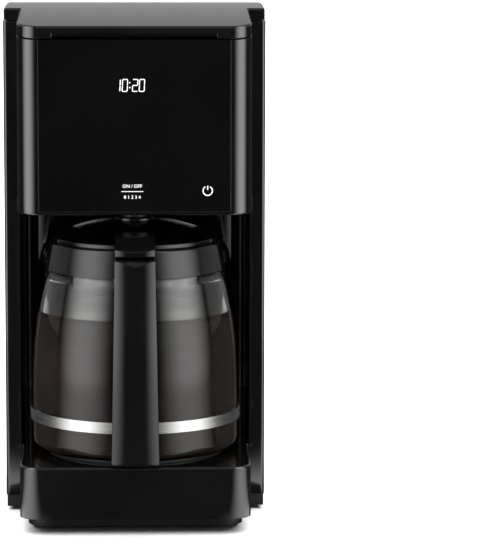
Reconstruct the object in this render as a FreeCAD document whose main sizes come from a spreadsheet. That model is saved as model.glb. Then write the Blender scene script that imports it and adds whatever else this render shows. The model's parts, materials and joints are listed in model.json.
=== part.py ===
import FreeCAD, Part
import Sketcher
import math
import os
import re

# Drip coffee maker with a glass carafe, in millimetres.
# X runs across the machine, Y from its front to its back, Z up from the table.
# The origin lies on the table, halfway between the handle's front and the back.

SIZES = {
    # body around the carafe
    "axis_setback": 77,
    "bay_clearance": 10,
    "bay_headroom": 10.4,
    "bay_wall_thickness": 2,
    "head_inset": 2.3,
    "head_height": 146,
    "wing_margin": 8.7,
    "wing_offset": 13,
    "base_height": 39,
    "plinth_height": 9,
    "foot_height": 3,
    "arch_radius": 965,
    "crest_setback": 128,
    "corner_radius": 16,
    "wing_corner": 2.5,
    "rear_corner": 8,
    "edge_round": 1.5,
    "wall": 2.5,
    "front_wall": 5,
    "side_gap": 0.3,
    # plinth, feet and screws
    "plinth_side_inset": 0.7,
    "plinth_front_inset": 18,
    "plinth_nose_inset": 5.8,
    "foot_radius": 9,
    "foot_plug_radius": 3,
    "front_foot_inset": 23.5,
    "front_foot_setback": 42,
    "rear_foot_side_inset": 16.5,
    "rear_foot_inset": 20,
    "screw_head_radius": 3,
    "screw_head_depth": 1.6,
    "screw_radius": 1.5,
    "screw_length": 12,
    "boss_radius": 4.5,
    "front_screw_inset": 11.5,
    "front_screw_setback": 30,
    "mid_screw_gap": 17,
    "mid_screw_offset": 50,
    "rear_screw_inset": 4.5,
    "rear_boss_depth": 14,
    "rear_boss_height": 10,
    "rear_screw_rise": 22,
    "rear_screw_drop": 22,
    # vents and cord gland in the back
    "vent_width": 44,
    "vent_height": 2.4,
    "vent_pitch": 6,
    "vent_rise": 58,
    "gland_inset": 30.5,
    "gland_rise": 22,
    "gland_radius": 8,
    "gland_bore_radius": 3.6,
    "gland_flange_radius": 10.5,
    "gland_flange_thickness": 2.5,
    # hot plate and heater
    "plate_inset": 12.8,
    "plate_rise": 2.6,
    "plate_thickness": 1.8,
    "plate_edge": 1,
    "plate_seat": 3,
    "gasket_thickness": 0.8,
    "gasket_lip": 1.5,
    "heater_inset": 17,
    "heater_width": 10,
    "heater_height": 15,
    "heater_leg": 28,
    "thermostat_radius": 8,
    "thermostat_height": 9,
    "fuse_length": 14,
    "fuse_width": 5,
    # water path
    "hose_drop": 10,
    "hose_radius": 4,
    "hose_bore": 2.5,
    "hose_bend": 9,
    "valve_radius": 6.8,
    "valve_length": 26,
    "valve_end": 3,
    "ball_radius": 4.2,
    "ball_side_gap": 0.3,
    "ball_travel": 2,
    "valve_setback": 12,
    "riser_inset": 10,
    "riser_gap": 14.8,
    "riser_rise": 8,
    # tank
    "tank_depth": 54.7,
    "tank_gap": 2.5,
    "tank_side_gap": 3,
    "tank_wall": 2,
    "tank_rise": 11,
    "tank_outlet_inset": 23.2,
    "cartridge_radius": 13,
    "cartridge_height": 52,
    "cartridge_stem_radius": 5,
    "cartridge_stem_height": 150,
    "cartridge_offset": 46,
    # boards
    "board_thickness": 1.6,
    "power_board_width": 92,
    "power_board_depth": 38,
    "power_board_setback": 11.2,
    "power_board_lift": 6.5,
    "transformer_size": 18,
    "relay_size": 13,
    "standoff_radius": 3,
    "standoff_length": 4,
    "standoff_inset": 8,
    "control_board_inset": 11.5,
    "control_board_rise": 14,
    "control_board_drop": 16,
    # touch panel and display
    "panel_depth": 2.2,
    "panel_gap": 0.2,
    "panel_foot": 3,
    "display_width": 44,
    "display_height": 24,
    "display_depth": 4,
    "display_drop": 19,
    # deck, basket and filter
    "deck_drop": 14.7,
    "deck_thickness": 2.5,
    "deck_tank_margin": 4,
    "basket_top_radius": 55,
    "basket_taper": 9,
    "basket_lift": 26.5,
    "basket_wall": 2,
    "basket_flange": 6,
    "basket_hole_gap": 1.5,
    "filter_gap": 1.2,
    "filter_wall": 0.8,
    "filter_floor_lift": 13,
    "filter_lip": 3,
    # drip stop
    "outlet_recess": 1,
    "outlet_wall": 3,
    "outlet_gap": 3,
    "stem_radius": 3,
    "stem_hole_gap": 2,
    "plunger_radius": 5,
    "plunger_flange_radius": 8.5,
    "plunger_flange_gap": 1.5,
    "plunger_flange_thickness": 2,
    "plunger_flange_rise": 5,
    "plunger_gap": 0.4,
    "button_radius": 9,
    "button_thickness": 3,
    "seal_radius": 9,
    "seal_thickness": 2,
    "drip_lift": 3.5,
    "spring_radius": 6.5,
    "spring_wire": 0.6,
    "spring_turns": 5,
    # brew lid and hinge
    "lid_thickness": 8.7,
    "lid_wall": 2.5,
    "lid_edge": 1.5,
    "lid_front_wall": 9,
    "lid_side_inset": 0.7,
    "seam_gap": 1.2,
    "liner_thickness": 1.5,
    "slot_inset": 9.5,
    "slot_height": 3.6,
    "slot_depth": 6,
    "hinge_inset": 6.5,
    "hinge_lid_land": 7,
    "hinge_swing_gap": 0.5,
    "knuckle_radius": 4.2,
    "knuckle_width": 14,
    "knuckle_gap": 1,
    "hinge_pin_radius": 2,
    "hinge_pin_length": 44,
    "running_clearance": 0.05,
    "spray_radius": 30,
    "spray_depth": 8,
    # carafe bowl, collar and band
    "rest_gap": 0.4,
    "glass_radius": 77.8,
    "glass_corner": 8,
    "glass_wall": 2.6,
    "glass_belly_height": 50,
    "belly_rise": 79,
    "belly_inset": 8.8,
    "shoulder_rise": 6,
    "shoulder_inset": 2.8,
    "neck_rise": 4,
    "neck_inset": 3.2,
    "neck_length": 13,
    "collar_cap": 4,
    "collar_wall": 1.4,
    "collar_lip": 4.5,
    "band_bottom": 22.2,
    "band_height": 8.3,
    "band_thickness": 1.2,
    # carafe handle
    "finger_gap": 20.2,
    "grip_thickness": 15,
    "handle_top_width": 29.5,
    "handle_bottom_width": 34.7,
    "handle_drop": 1.5,
    "handle_bottom": 5,
    "handle_arm": 17,
    "handle_round": 4,
    "handle_inner_round": 6,
    "handle_foot_rise": 3.5,
    "handle_foot_slope": 11,
    "handle_root": 12,
    "handle_crown": 30,
    "handle_screw_inset": 19,
    # carafe lid and its hinge
    "cover_gap": 0.4,
    "cover_rim_inset": 1.5,
    "cover_rim_height": 3,
    "cover_skirt_gap": 1,
    "cover_skirt_depth": 6,
    "cover_wall": 2.2,
    "cover_rise": 17.6,
    "hub_radius": 14,
    "hub_rise": 2,
    "hub_hole_radius": 6,
    "dome_radius": 110,
    "lever_gap": 2,
    "lever_width": 29,
    "lever_tip_inset": 10,
    "lever_tip_height": 4,
    "lever_crest_gap": 4,
    "lever_back_height": 11,
    "lever_root": 21.5,
    "lever_round": 2,
    "cover_pin_inset": 33,
    "cover_pin_drop": 5,
    "cover_pin_radius": 1.5,
    "cover_pin_length": 26,
    "lug_radius": 4.5,
    "lug_width": 10,
    "lug_side_gap": 0.6,
    "lug_slot_gap": 3.5,
}

LAYOUT = {
    # carafe sizes, with heights above the glass's foot
    "glass_shoulder_radius": "glass_radius - belly_inset",
    "glass_shoulder_height": "glass_belly_height + belly_rise",
    "collar_bottom_radius": "glass_shoulder_radius - shoulder_inset",
    "collar_bottom_height": "glass_shoulder_height + shoulder_rise",
    "neck_radius": "collar_bottom_radius - neck_inset",
    "neck_height": "collar_bottom_height + neck_rise",
    "glass_height": "neck_height + neck_length",
    "collar_height": "glass_height + collar_cap",
    "inner_radius": "glass_radius - glass_wall",
    "rim_z": "collar_height + cover_gap",
    "collar_bore": "neck_radius - collar_lip",
    "skirt_radius": "collar_bore - cover_skirt_gap",
    "band_radius": "glass_radius + band_thickness",
    "cover_rim_radius": "neck_radius - cover_rim_inset",
    "cover_top": "collar_height + cover_rise",
    "handle_reach": "glass_radius + finger_gap + grip_thickness",
    "handle_top": "collar_height - handle_drop",
    "handle_foot_top": "band_bottom + band_height + handle_foot_rise",
    "handle_screw_reach": "handle_reach - handle_screw_inset",
    "cover_pin_reach": "handle_reach - cover_pin_inset",
    "cover_pin_height": "handle_top - cover_pin_drop",
    "lever_z": "handle_top + lever_gap",
    "lever_tip_reach": "handle_reach - lever_tip_inset",
    "lever_back_reach": "cover_pin_reach - lever_crest_gap",
    "lever_root_reach": "cover_rim_radius - lever_root",
    # carafe bay and body
    "bay_radius": "glass_radius + bay_clearance",
    "bay_outer": "bay_radius + bay_wall_thickness",
    "body_half": "bay_outer + wing_margin",
    "body_width": "2 * body_half",
    "body_depth": "axis_setback + bay_outer + tank_gap + tank_depth + tank_gap + wall",
    "head_half": "bay_radius - head_inset",
    "head_width": "2 * head_half",
    "side_inner_x": "body_half - wall",
    "rear_half": "body_half - rear_corner",
    "panel_width": "head_width - 2 * corner_radius",
    "slot_width": "panel_width - 2 * slot_inset",
    # places along Y
    "front_y": "(handle_reach - axis_setback - body_depth) / 2",
    "rear_y": "front_y + body_depth",
    "axis_y": "front_y + axis_setback",
    "wing_y": "axis_y + wing_offset",
    "wing_back_y": "wing_y + wall",
    "rear_inner_y": "rear_y - wall",
    "arch_y": "front_y + crest_setback",
    "hinge_y": "rear_y - hinge_inset",
    # heights
    "skirt_z": "foot_height + plinth_height",
    "base_top_z": "skirt_z + base_height",
    "plate_top_z": "base_top_z + plate_rise",
    "glass_z": "plate_top_z + rest_gap",
    "hub_z": "glass_z + cover_top",
    "head_bottom_z": "hub_z + bay_headroom",
    "bay_height": "head_bottom_z - base_top_z",
    "body_height": "head_bottom_z + head_height",
    "arch_z": "body_height - arch_radius",
    "lid_under_radius": "arch_radius - lid_thickness",
    "shell_top_radius": "lid_under_radius - seam_gap",
    "hinge_z": "arch_z + sqrt(arch_radius ^ 2 - (hinge_y - arch_y) ^ 2) - lid_thickness / 2",
    "lid_front_z": "arch_z + sqrt(lid_under_radius ^ 2 - crest_setback ^ 2)",
    "swing_radius": "sqrt(hinge_inset ^ 2 + (lid_thickness / 2) ^ 2) + hinge_swing_gap",
    "deck_z": "lid_front_z - deck_drop",
    "deck_top_z": "deck_z + deck_thickness",
    # feet, screws and cord gland
    "front_foot_x": "head_half - front_foot_inset",
    "rear_foot_x": "body_half - rear_foot_side_inset",
    "front_screw_x": "head_half - front_screw_inset",
    "mid_screw_x": "heater_radius + mid_screw_gap",
    "rear_screw_x": "rear_half - rear_screw_inset",
    "rear_screw_low_z": "skirt_z + rear_screw_rise",
    "rear_screw_top_z": "deck_z - rear_screw_drop",
    "rear_screw_mid_z": "(rear_screw_low_z + rear_screw_top_z) / 2",
    "gland_x": "rear_half - gland_inset",
    "gland_z": "skirt_z + gland_rise",
    "vent_z": "skirt_z + vent_rise",
    # hot plate, heater and hoses
    "plate_radius": "glass_radius - plate_inset",
    "plate_hole_radius": "plate_radius - plate_seat",
    "plate_under_z": "plate_top_z - plate_thickness",
    "gasket_z": "plate_under_z - gasket_thickness",
    "heater_radius": "plate_hole_radius - heater_inset",
    "heater_z": "plate_under_z - heater_height",
    "hose_z": "base_top_z - hose_drop",
    "leg_end_y": "axis_y + heater_leg",
    "valve_y": "leg_end_y + valve_setback",
    "chamber_radius": "ball_radius + ball_side_gap",
    # tank and boards
    "tank_width": "2 * (rear_screw_x - screw_head_radius - tank_side_gap)",
    "tank_front_y": "axis_y + bay_outer + tank_gap",
    "tank_z": "base_top_z + tank_rise",
    "tank_outlet_y": "tank_front_y + tank_outlet_inset",
    "riser_x": "tank_width / 2 - riser_inset",
    "riser_y": "tank_front_y - riser_gap",
    "power_board_y": "tank_front_y + power_board_setback",
    "control_board_width": "panel_width - 2 * control_board_inset",
    "control_board_z": "head_bottom_z + control_board_rise",
    "control_board_height": "deck_z - control_board_drop - control_board_z",
    "display_z": "deck_z - display_drop",
    # basket, filter and drip stop
    "basket_z": "head_bottom_z + basket_lift",
    "basket_bottom_radius": "basket_top_radius - basket_taper",
    "basket_floor_z": "basket_z + basket_wall",
    "outlet_z": "head_bottom_z + outlet_recess",
    "outlet_bore": "plunger_flange_radius + plunger_flange_gap",
    "outlet_radius": "outlet_bore + outlet_wall",
    "outlet_hole_radius": "outlet_radius + outlet_gap",
    "filter_z": "basket_floor_z + filter_floor_lift",
    "plunger_z": "hub_z + plunger_gap",
    "flange_z": "head_bottom_z + plunger_flange_rise",
    "spring_z": "flange_z + plunger_flange_thickness",
    "seal_z": "basket_floor_z + drip_lift",
}

doc = FreeCAD.newDocument("CoffeeMaker")
WORD = re.compile(r"[a-z_][a-z0-9_]*")
X_AXIS = FreeCAD.Vector(1, 0, 0)
Y_AXIS = FreeCAD.Vector(0, 1, 0)
Z_AXIS = FreeCAD.Vector(0, 0, 1)
ALONG_X = FreeCAD.Rotation(Z_AXIS, X_AXIS)
ALONG_Y = FreeCAD.Rotation(Z_AXIS, Y_AXIS)
SUB_PARTS = []


def qualified(text, inside_layout=False):
    """Expression text with each named size written as a reference to its sheet."""
    def reference(match):
        word = match.group(0)
        if word in SIZES:
            return "Sizes." + word
        if word in LAYOUT and not inside_layout:
            return "Layout." + word
        return word
    return WORD.sub(reference, str(text))


def fill_sheets():
    """Driving sizes as plain numbers, then the places worked out from them."""
    sizes = doc.addObject("Spreadsheet::Sheet", "Sizes")
    for row, (alias, number) in enumerate(SIZES.items(), start=1):
        sizes.set(f"A{row}", alias)
        sizes.set(f"B{row}", str(number))
        sizes.setAlias(f"B{row}", alias)
    layout = doc.addObject("Spreadsheet::Sheet", "Layout")
    for row, alias in enumerate(LAYOUT, start=1):
        layout.setAlias(f"B{row}", alias)
    for row, (alias, formula) in enumerate(LAYOUT.items(), start=1):
        layout.set(f"A{row}", alias)
        layout.set(f"B{row}", "=" + qualified(formula, inside_layout=True))
    doc.recompute()
    return sizes


sheet = fill_sheets()


def number(text):
    """Present value of an expression, for places that a sketch starts from."""
    return float(sheet.evalExpression(qualified(text)))


def bind(item, prop, text):
    item.setExpression(prop, qualified(text))


def place(item, at, rotation=None):
    if rotation is not None:
        item.Placement.Rotation = rotation
    for axis, text in zip("xyz", at):
        bind(item, "Placement.Base." + axis, text)
    return item


def box(name, low, size):
    solid = doc.addObject("Part::Box", name)
    for prop, text in zip(("Length", "Width", "Height"), size):
        bind(solid, prop, text)
    return place(solid, low)


def wide_box(name, width, low_y, depth, low_z, height):
    """Box centred on the machine's middle plane."""
    return box(name, (f"-({width}) / 2", low_y, low_z), (width, depth, height))


def cylinder(name, radius, height, at, rotation=None):
    solid = doc.addObject("Part::Cylinder", name)
    bind(solid, "Radius", radius)
    bind(solid, "Height", height)
    return place(solid, at, rotation)


def fuse(name, *shapes):
    result = doc.addObject("Part::MultiFuse", name)
    result.Shapes = list(shapes)
    return result


def cut(name, base, *tools):
    result = doc.addObject("Part::Cut", name)
    result.Base = base
    result.Tool = tools[0] if len(tools) == 1 else fuse(name + "Tools", *tools)
    return result


def common(name, base, tool):
    result = doc.addObject("Part::Common", name)
    result.Base = base
    result.Tool = tool
    return result


def group(name, *shapes):
    result = doc.addObject("Part::Compound", name)
    result.Links = list(shapes)
    return result


def mirrored(name, source):
    """Copy on the other side of the machine's middle plane."""
    result = doc.addObject("Part::Mirroring", name)
    result.Source = source
    result.Normal = X_AXIS
    return result


def sub_part(item, label):
    item.Label = label
    SUB_PARTS.append(item)
    return item


def rounded(name, solid, radius, is_wanted):
    """Fillet on the edges that a test picks out."""
    doc.recompute()
    size = number(radius)
    result = doc.addObject("Part::Fillet", name)
    result.Base = solid
    edges = enumerate(solid.Shape.Edges, start=1)
    result.Edges = [(index, size, size) for index, edge in edges if is_wanted(edge)]
    return result


def arc_geometry(start, end, radius):
    """Arc of less than half a turn; a positive radius turns to the left."""
    chord = end - start
    middle = (start + end) / 2
    left = FreeCAD.Vector(-chord.y, chord.x, 0) / chord.Length
    reach = math.sqrt(max(radius ** 2 - chord.Length ** 2 / 4, 0))
    centre = middle + left * math.copysign(reach, radius)
    first, last = (start, end) if radius > 0 else (end, start)
    low = math.atan2(first.y - centre.y, first.x - centre.x)
    high = math.atan2(last.y - centre.y, last.x - centre.x)
    if high < low:
        high += 2 * math.pi
    return Part.ArcOfCircle(Part.Circle(centre, Z_AXIS, abs(radius)), low, high)


def outline(body, role, points, lift=None):
    """Closed sketch on one of the body's planes.

    A point is (x, y), or (x, y, radius) where an arc leads to the next point.
    """
    sketch = body.newObject("Sketcher::SketchObject", body.Name + "Outline")
    planes = body.Origin.OriginFeatures
    sketch.AttachmentSupport = [(next(item for item in planes if item.Role == role), "")]
    sketch.MapMode = "FlatFace"
    if lift is not None:
        bind(sketch, "AttachmentOffset.Base.z", lift)
    corners = [FreeCAD.Vector(number(point[0]), number(point[1]), 0) for point in points]
    ends = []
    for index, point in enumerate(points):
        start = corners[index]
        end = corners[(index + 1) % len(points)]
        if len(point) == 2:
            sketch.addGeometry(Part.LineSegment(start, end), False)
            ends.append((1, 2))
            continue
        radius = number(point[2])
        sketch.addGeometry(arc_geometry(start, end, radius), False)
        ends.append((1, 2) if radius > 0 else (2, 1))
        row = sketch.addConstraint(Sketcher.Constraint("Radius", index, abs(radius)))
        bind(sketch, f"Constraints[{row}]", f"abs({point[2]})")
    for index, point in enumerate(points):
        following = (index + 1) % len(points)
        start = ends[index][0]
        sketch.addConstraint(
            Sketcher.Constraint("Coincident", index, ends[index][1], following, ends[following][0])
        )
        for kind, text in zip(("DistanceX", "DistanceY"), point):
            row = sketch.addConstraint(
                Sketcher.Constraint(kind, -1, 1, index, start, number(text))
            )
            bind(sketch, f"Constraints[{row}]", text)
    return sketch


def prism(name, points, low_z, height):
    """Upright prism over an outline seen from above."""
    body = doc.addObject("PartDesign::Body", name)
    sketch = outline(body, "XY_Plane", points, low_z)
    pad = body.newObject("PartDesign::Pad", name + "Pad")
    pad.Profile = sketch
    bind(pad, "Length", height)
    return body


def turned(name, points, at=("0", "axis_y", "0")):
    """Solid turned about an upright axis, from (radius, height) points."""
    body = doc.addObject("PartDesign::Body", name)
    sketch = outline(body, "XZ_Plane", points)
    turn = body.newObject("PartDesign::Revolution", name + "Turn")
    turn.Profile = sketch
    turn.ReferenceAxis = (sketch, ["V_Axis"])
    turn.Angle = 360
    return place(body, at)


def side_prism(name, points, width, at):
    """Prism over a side view of (y, height) points, centred across X."""
    body = doc.addObject("PartDesign::Body", name)
    sketch = outline(body, "YZ_Plane", points, f"-({width}) / 2")
    pad = body.newObject("PartDesign::Pad", name + "Pad")
    pad.Profile = sketch
    bind(pad, "Length", width)
    return place(body, at)


def front_prism(name, points, depth, at):
    """Prism over a front view of (x, height) points, centred along Y."""
    body = doc.addObject("PartDesign::Body", name)
    sketch = outline(body, "XZ_Plane", points, f"-({depth}) / 2")
    pad = body.newObject("PartDesign::Pad", name + "Pad")
    pad.Profile = sketch
    bind(pad, "Length", depth)
    return place(body, at)


def arch(name, radius):
    """Long round bar lying across the machine, whose top is the machine's arched top."""
    return cylinder(
        name, radius, "2 * body_width", ("-body_width", "arch_y", "arch_z"), ALONG_X
    )


def nose_outline(half, low_y, high_y, corner):
    """Rectangle with its two front corners rounded."""
    return [
        (f"-({half}) + ({corner})", low_y),
        (f"({half}) - ({corner})", low_y, corner),
        (half, f"{low_y} + ({corner})"),
        (half, high_y),
        (f"-({half})", high_y),
        (f"-({half})", f"{low_y} + ({corner})", corner),
    ]


def tower_outline(half, low_y, high_y, corner):
    """Rectangle with its two back corners rounded."""
    return [
        (f"-({half})", low_y),
        (half, low_y),
        (half, f"{high_y} - ({corner})", corner),
        (f"({half}) - ({corner})", high_y),
        (f"-({half}) + ({corner})", high_y, corner),
        (f"-({half})", f"{high_y} - ({corner})"),
    ]


def bay_disc(name, low_z, height):
    """Half disc that closes the carafe bay behind the wing fronts."""
    disc = cylinder(name + "Round", "bay_outer", height, ("0", "axis_y", low_z))
    behind = wide_box(name + "Behind", "body_width", "wing_y", "bay_outer", low_z, height)
    return common(name, disc, behind)


def tube_between(name, points, radius):
    """Round bar along straight runs with tangent bends."""
    corners = [FreeCAD.Vector(*(number(text) for text in point)) for point in points]
    bend = number("hose_bend")
    edges = []
    start = corners[0]
    for before, corner, after in zip(corners, corners[1:], corners[2:]):
        arriving = (corner - before).normalize()
        leaving = (after - corner).normalize()
        first = corner - arriving * bend
        last = corner + leaving * bend
        middle = corner + (leaving - arriving) * bend * (1 - math.sqrt(0.5))
        edges.append(Part.LineSegment(start, first).toShape())
        edges.append(Part.Arc(first, middle, last).toShape())
        start = last
    edges.append(Part.LineSegment(start, corners[-1]).toShape())
    heading = corners[1] - corners[0]
    profile = Part.Wire(Part.makeCircle(number(radius), corners[0], heading))
    bar = doc.addObject("Part::Feature", name)
    bar.Shape = Part.Wire(edges).makePipeShell([profile], True, False)
    return bar


def hose(name, points):
    return cut(
        name,
        tube_between(name + "Skin", points, "hose_radius"),
        tube_between(name + "Bore", points, "hose_bore"),
    )


def screw(name, head_at, rotation):
    """Flush-headed screw whose head starts at the given point."""
    head = cylinder(name + "Head", "screw_head_radius", "screw_head_depth", head_at, rotation)
    shank = cylinder(name + "Shank", "screw_radius", "screw_length", head_at, rotation)
    return fuse(name, head, shank)


INTO_FRONT = FreeCAD.Rotation(Z_AXIS, FreeCAD.Vector(0, -1, 0))
UPRIGHT = FreeCAD.Rotation()

# Shared places of screws, feet and bosses, as (x, y) texts.
BOTTOM_SCREWS = [
    ("front_screw_x", "front_y + front_screw_setback"),
    ("-front_screw_x", "front_y + front_screw_setback"),
    ("mid_screw_x", "axis_y + mid_screw_offset"),
    ("-mid_screw_x", "axis_y + mid_screw_offset"),
]
FEET = [
    ("front_foot_x", "front_y + front_foot_setback"),
    ("-front_foot_x", "front_y + front_foot_setback"),
    ("rear_foot_x", "rear_y - rear_foot_inset"),
    ("-rear_foot_x", "rear_y - rear_foot_inset"),
]
REAR_SCREWS = [
    (side + "rear_screw_x", level)
    for level in ("rear_screw_low_z", "rear_screw_mid_z", "rear_screw_top_z")
    for side in ("", "-")
]


def make_underside():
    """Plinth tray, rubber feet and the screws that hold the tray to the base."""
    tower = prism(
        "PlinthTower",
        tower_outline("body_half - plinth_side_inset", "wing_y + plinth_side_inset",
                      "rear_y - plinth_side_inset", "rear_corner"),
        "foot_height", "plinth_height",
    )
    nose = prism(
        "PlinthNose",
        nose_outline("head_half - plinth_nose_inset", "front_y + plinth_front_inset",
                     "wing_y + wall", "corner_radius"),
        "foot_height", "plinth_height",
    )
    inner_tower = prism(
        "PlinthTowerInner",
        tower_outline("body_half - plinth_side_inset - wall", "wing_y + plinth_side_inset + wall",
                      "rear_y - plinth_side_inset - wall", "rear_corner - wall"),
        "foot_height + wall", "plinth_height",
    )
    inner_nose = prism(
        "PlinthNoseInner",
        nose_outline("head_half - plinth_nose_inset - wall", "front_y + plinth_front_inset + wall",
                     "wing_y + plinth_side_inset + wall + wall", "corner_radius - wall"),
        "foot_height + wall", "plinth_height",
    )
    tray = cut("PlinthTray", fuse("PlinthBlock", tower, nose), inner_tower, inner_nose)
    studs = []
    for index, (x, y) in enumerate(BOTTOM_SCREWS):
        studs.append(
            cylinder(f"TrayStud{index}", "boss_radius", "plinth_height - wall",
                     (x, y, "foot_height + wall"))
        )
    for side in ("", "-"):
        for y in ("power_board_y + standoff_inset",
                  "power_board_y + power_board_depth - standoff_inset"):
            studs.append(
                cylinder("BoardStud", "standoff_radius", "power_board_lift",
                         (f"{side}(power_board_width / 2 - standoff_inset)", y, "foot_height + wall"))
            )
    holes = []
    feet = []
    screws = []
    for index, (x, y) in enumerate(FEET):
        pad = cylinder(f"FootPad{index}", "foot_radius", "foot_height", (x, y, "0"))
        plug = cylinder(f"FootPlug{index}", "foot_plug_radius", "foot_height + wall", (x, y, "0"))
        feet.append(fuse(f"Foot{index}", pad, plug))
        holes.append(feet[-1])
    for index, (x, y) in enumerate(BOTTOM_SCREWS):
        screws.append(screw(f"BottomScrew{index}", (x, y, "foot_height"), UPRIGHT))
        holes.append(screws[-1])
    sub_part(cut("BottomCover", fuse("TrayWithStuds", tray, *studs), *holes), "bottom_cover")
    sub_part(group("Feet", *feet), "rubber_feet")
    sub_part(group("BottomScrews", *screws), "bottom_screws")
    return screws


def make_base(bottom_screws):
    """Base housing under the carafe, with its hole for the hot plate."""
    outer = prism("BaseOuter", nose_outline("head_half", "front_y", "wing_back_y", "corner_radius"),
                  "skirt_z", "base_height")
    soft = rounded("BaseSoft", outer, "edge_round",
                   lambda edge: is_level_at(edge, "base_top_z") and not is_back(edge))
    inner = prism("BaseInner",
                  nose_outline("head_half - wall", "front_y + wall", "wing_back_y + wall",
                               "corner_radius - wall"),
                  "skirt_z - wall", "base_height")
    hole = cylinder("PlateHole", "plate_hole_radius", "base_height", ("0", "axis_y", "skirt_z"))
    hollow = cut("BaseHollow", soft, inner)
    floor = bay_disc("BayFloor", "base_top_z - wall", "wall")
    bosses = [
        cylinder(f"BaseBoss{index}", "boss_radius", "base_height - wall", (x, y, "skirt_z"))
        for index, (x, y) in enumerate(BOTTOM_SCREWS)
    ]
    shell = fuse("BaseBlock", hollow, floor, *bosses)
    sub_part(cut("BaseShell", shell, hole, *bottom_screws), "base_shell")


def is_level_at(edge, height):
    box_ = edge.BoundBox
    return box_.ZLength < 1e-6 and abs(box_.ZMin - number(height)) < 1e-6


def is_back(edge):
    return edge.BoundBox.YMin > number("wing_back_y") - 1e-6


def make_hot_plate():
    """Hot plate, its gasket, and the heater with its guards underneath."""
    plate = [
        ("0", "plate_under_z"),
        ("plate_radius", "plate_under_z"),
        ("plate_radius", "plate_top_z - plate_edge", "plate_edge"),
        ("plate_radius - plate_edge", "plate_top_z"),
        ("0", "plate_top_z"),
    ]
    sub_part(turned("HotPlate", plate), "hot_plate")
    ring = cylinder("GasketRing", "plate_radius + gasket_lip", "gasket_thickness",
                    ("0", "axis_y", "gasket_z"))
    opening = cylinder("GasketOpening", "plate_hole_radius", "gasket_thickness",
                       ("0", "axis_y", "gasket_z"))
    sub_part(cut("Gasket", ring, opening), "plate_gasket")

    outside = cylinder("HeaterOutside", "heater_radius + heater_width / 2", "heater_height",
                       ("0", "axis_y", "heater_z"))
    inside = cylinder("HeaterInside", "heater_radius - heater_width / 2", "heater_height",
                      ("0", "axis_y", "heater_z"))
    front_half = wide_box("HeaterFront", "4 * heater_radius", "axis_y - 2 * heater_radius",
                          "2 * heater_radius", "heater_z", "heater_height")
    bend = common("HeaterBend", cut("HeaterRing", outside, inside), front_half)
    legs = [
        box(f"HeaterLeg{index}", (f"{x} - heater_width / 2", "axis_y", "heater_z"),
            ("heater_width", "heater_leg", "heater_height"))
        for index, x in enumerate(("heater_radius", "-heater_radius"))
    ]
    sub_part(fuse("Heater", bend, *legs), "heater_tube")
    sub_part(
        cylinder("Thermostat", "thermostat_radius", "thermostat_height",
                 ("0", "axis_y - heater_radius", "heater_z - thermostat_height")),
        "thermostat",
    )
    sub_part(
        box("ThermalFuse",
            ("-heater_radius - fuse_width / 2", "axis_y", "heater_z - fuse_width"),
            ("fuse_width", "fuse_length", "fuse_width")),
        "thermal_fuse",
    )


def make_water_path():
    """Check valve, hoses and riser between the tank, the heater and the spray head."""
    level = "hose_z"
    valve_end = "valve_y + valve_length"
    skin = cylinder("ValveSkin", "valve_radius", "valve_length",
                    ("heater_radius", "valve_y", level), ALONG_Y)
    bore = cylinder("ValveBore", "hose_bore", "valve_length",
                    ("heater_radius", "valve_y", level), ALONG_Y)
    chamber = cylinder("ValveChamber", "chamber_radius", "valve_length - 2 * valve_end",
                       ("heater_radius", "valve_y + valve_end", level), ALONG_Y)
    sub_part(cut("CheckValve", skin, bore, chamber), "check_valve_body")
    ball = doc.addObject("Part::Sphere", "ValveBall")
    bind(ball, "Radius", "ball_radius")
    place(ball, ("heater_radius", f"{valve_end} - valve_end - ball_radius - ball_travel - ball_side_gap",
                 level))
    sub_part(ball, "check_valve_ball")
    sub_part(hose("HeaterHose", [("heater_radius", "leg_end_y", level),
                                 ("heater_radius", "valve_y", level)]), "heater_inlet_hose")
    sub_part(hose("TankHose", [("heater_radius", valve_end, level),
                               ("heater_radius", "tank_outlet_y", level),
                               ("heater_radius", "tank_outlet_y", "tank_z")]), "tank_hose")
    sub_part(hose("Riser", [("-heater_radius", "leg_end_y", level),
                            ("-heater_radius", "riser_y", level),
                            ("-riser_x", "riser_y", level),
                            ("-riser_x", "riser_y", "deck_top_z + riser_rise")]), "riser_hose")


def make_tank():
    """Water tank behind the bay, open at the top, and the filter cartridge in it."""
    skin = wide_box("TankSkin", "tank_width", "tank_front_y", "tank_depth", "tank_z",
                    "deck_z - tank_z")
    hollow = wide_box("TankHollow", "tank_width - 2 * tank_wall", "tank_front_y + tank_wall",
                      "tank_depth - 2 * tank_wall", "tank_z + tank_wall", "deck_z - tank_z")
    outlet = cylinder("TankOutlet", "hose_bore", "2 * tank_wall",
                      ("heater_radius", "tank_outlet_y", "tank_z - tank_wall"))
    sub_part(cut("Tank", skin, hollow, outlet), "water_tank")
    at = ("-cartridge_offset", "tank_front_y + tank_depth / 2")
    cup = cylinder("CartridgeCup", "cartridge_radius", "cartridge_height",
                   (*at, "tank_z + tank_wall"))
    stem = cylinder("CartridgeStem", "cartridge_stem_radius", "cartridge_stem_height",
                    (*at, "tank_z + tank_wall + cartridge_height"))
    sub_part(fuse("Cartridge", cup, stem), "water_filter_holder")


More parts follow.
